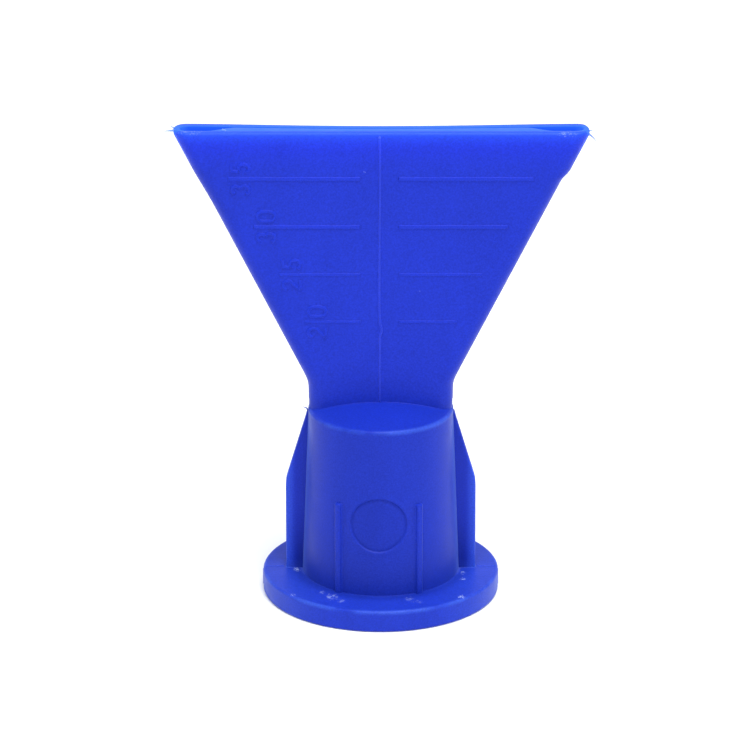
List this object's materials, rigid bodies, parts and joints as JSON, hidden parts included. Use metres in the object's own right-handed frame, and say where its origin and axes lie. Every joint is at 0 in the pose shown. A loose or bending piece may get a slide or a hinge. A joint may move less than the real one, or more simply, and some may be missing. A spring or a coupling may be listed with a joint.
{
  "type": "flat fan nozzle",
  "caption": "Wide flat slot nozzle flaring from a short round barrel on a clamping flange, with raised cut-to-width marks on its face.",
  "frame": {"origin": "centre of the flange's underside", "axes": "+Z along the barrel towards the mouth, X along the mouth's width, -Y is the face with the cut marks"},
  "size_m": [0.041, 0.024, 0.049],
  "materials": {
    "moulding": "satin, as moulded",
    "raised_marks": "satin, as moulded"
  },
  "bodies": {
    "root": {"back_rib_left": "moulding", "back_rib_right": "moulding", "barrel_shell": "moulding", "cut_bar_20_left": "raised_marks", "cut_bar_20_right": "raised_marks", "cut_bar_25_left": "raised_marks", "cut_bar_25_right": "raised_marks", "cut_bar_30_left": "raised_marks", "cut_bar_30_right": "raised_marks", "cut_bar_35_left": "raised_marks", "cut_bar_35_right": "raised_marks", "fan_back_wall": "moulding", "fan_front_wall": "moulding", "fan_left_edge": "moulding", "fan_right_edge": "moulding", "flange_ring": "moulding", "front_rib_left": "moulding", "front_rib_right": "moulding", "front_seam_line": "raised_marks", "numeral_20_tens": "raised_marks", "numeral_20_units": "raised_marks", "numeral_25_tens": "raised_marks", "numeral_25_units": "raised_marks", "numeral_30_tens": "raised_marks", "numeral_30_units": "raised_marks", "numeral_35_tens": "raised_marks", "numeral_35_units": "raised_marks", "shoulder_dome": "moulding", "side_fin_left": "moulding", "side_fin_right": "moulding"}
  },
  "joints": []
}
